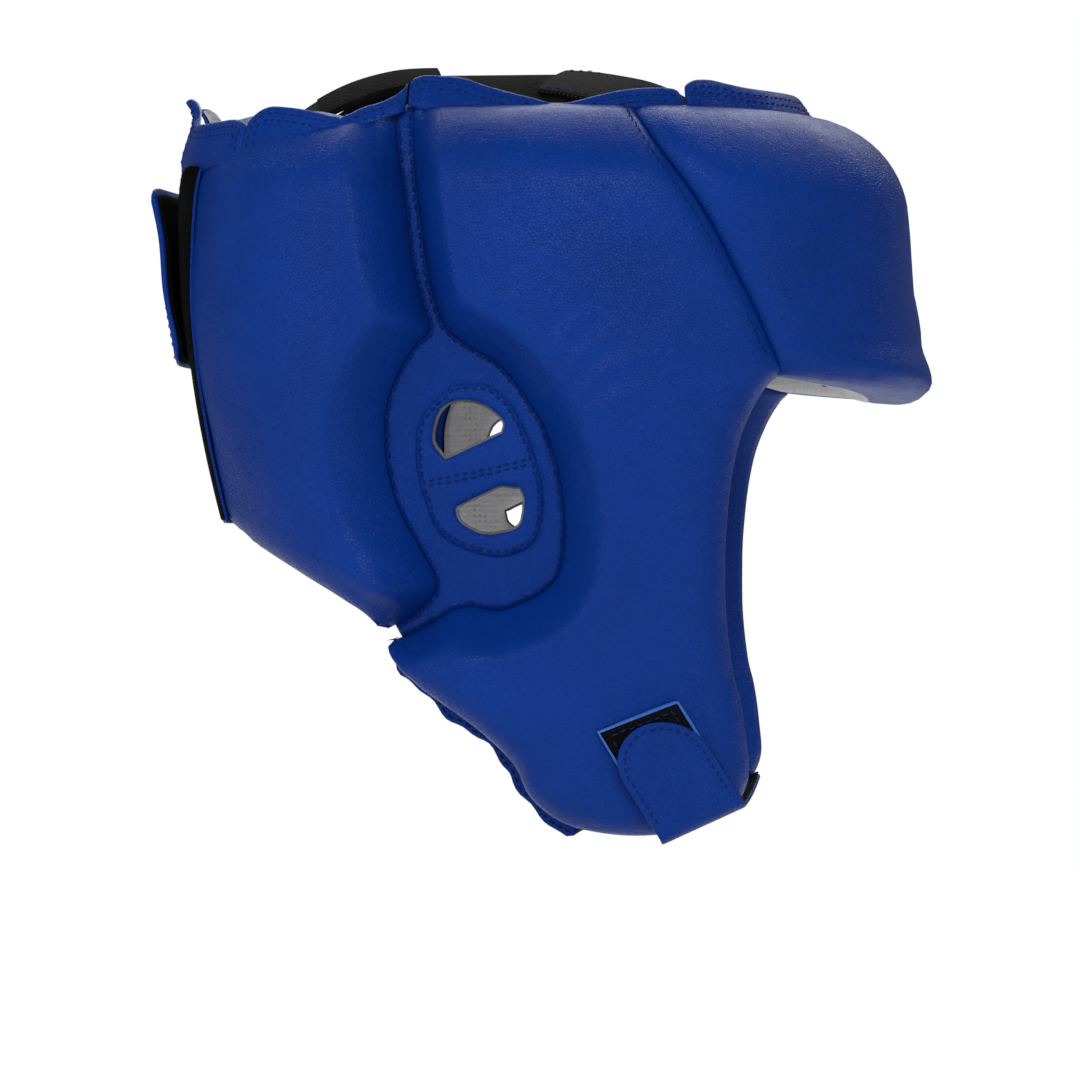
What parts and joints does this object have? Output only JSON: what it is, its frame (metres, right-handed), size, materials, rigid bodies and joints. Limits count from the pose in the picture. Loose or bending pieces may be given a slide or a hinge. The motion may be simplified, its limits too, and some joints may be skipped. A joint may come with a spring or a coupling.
{
  "type": "boxing headgear",
  "caption": "Padded leather boxing headgear with flat ear panels, D shaped ear holes, crown webbing, rear hook flap and chin strap",
  "frame": {"origin": "centre of the head cavity, midway between the two ear openings", "axes": "+X towards the face, +Y towards the wearer's left, +Z towards the crown"},
  "size_m": [0.2551, 0.208, 0.2553],
  "materials": {
    "blue_leather": "satin",
    "black_webbing": "matte",
    "hook_and_loop": "matte",
    "lining_mesh": "matte",
    "foam": "matte",
    "pale_trim": "satin"
  },
  "bodies": {
    "shell": {"forehead_cover": "blue_leather", "side_cover_right": "blue_leather", "side_cover_left": "blue_leather", "ear_panel_right": "blue_leather", "ear_panel_left": "blue_leather", "ear_patch_right": "blue_leather", "ear_patch_left": "blue_leather", "front_tab_right": "blue_leather", "front_tab_left": "blue_leather", "temple_tab_right": "blue_leather", "temple_tab_left": "blue_leather", "side_tab_right": "blue_leather", "side_tab_left": "blue_leather", "chin_anchor": "blue_leather", "jaw_lip_right": "blue_leather", "jaw_lip_left": "blue_leather", "front_arm_right": "black_webbing", "front_arm_left": "black_webbing", "crown_panel": "black_webbing", "cheek_patch": "hook_and_loop", "forehead_lining": "lining_mesh", "side_lining_right": "lining_mesh", "side_lining_left": "lining_mesh", "ear_lining_right": "lining_mesh", "ear_lining_left": "lining_mesh", "forehead_foam": "foam", "side_foam_right": "foam", "side_foam_left": "foam", "cheek_patch_trim": "pale_trim"},
    "rear_right": {"rear_cover_right": "blue_leather", "rear_foam_right": "foam", "rear_lining_right": "lining_mesh", "seam_tab_right": "blue_leather", "rear_tab_right": "blue_leather", "back_tab_right": "blue_leather", "arm_base_right": "black_webbing", "back_loop_panel": "hook_and_loop"},
    "crown_arm_right": {"rear_arm_right": "hook_and_loop"},
    "rear_left": {"rear_cover_left": "blue_leather", "rear_foam_left": "foam", "rear_lining_left": "lining_mesh", "seam_tab_left": "blue_leather", "rear_tab_left": "blue_leather", "back_tab_left": "blue_leather", "arm_base_left": "black_webbing", "flap_base": "blue_leather"},
    "crown_arm_left": {"rear_arm_left": "hook_and_loop"},
    "back_flap": {"back_flap": "blue_leather", "back_flap_hook": "hook_and_loop"},
    "chin_strap": {"chin_strap": "blue_leather", "chin_strap_backing": "black_webbing"},
    "chin_tip": {"strap_tip": "blue_leather", "strap_tip_hook": "hook_and_loop"}
  },
  "joints": [
    {"name": "rear_right_spread", "type": "hinge", "parent": "shell", "child": "rear_right", "pos_m": [-0.013, -0.095, 0.035], "axis": [0, 0, 1], "range_deg": [0, 25]},
    {"name": "rear_left_spread", "type": "hinge", "parent": "shell", "child": "rear_left", "pos_m": [-0.013, 0.095, 0.035], "axis": [0, 0, 1], "range_deg": [-25, 0]},
    {"name": "back_flap_peel", "type": "hinge", "parent": "rear_left", "child": "back_flap", "pos_m": [-0.1023, 0.036, 0.065], "axis": [0, 0, -1], "range_deg": [0, 120]},
    {"name": "crown_arm_right_peel", "type": "hinge", "parent": "rear_right", "child": "crown_arm_right", "pos_m": [-0.058, -0.0356, 0.1206], "axis": [0.1864, -0.9427, -0.2768], "range_deg": [0, 60]},
    {"name": "crown_arm_left_peel", "type": "hinge", "parent": "rear_left", "child": "crown_arm_left", "pos_m": [-0.058, 0.0356, 0.1206], "axis": [-0.1864, -0.9427, 0.2768], "range_deg": [0, 60]},
    {"name": "chin_strap_swing", "type": "hinge", "parent": "shell", "child": "chin_strap", "pos_m": [0.07043, 0.08075, -0.1114], "axis": [0.8608, -0.3065, 0.4063], "range_deg": [0, 90]},
    {"name": "chin_tip_peel", "type": "hinge", "parent": "chin_strap", "child": "chin_tip", "pos_m": [0.07, -0.0809, -0.1105], "axis": [0.8599, 0.3096, 0.4059], "range_deg": [0, 120]}
  ],
  "couplings": [
    {"joint": "rear_left_spread", "follows": "rear_right_spread", "ratio": -1}
  ]
}
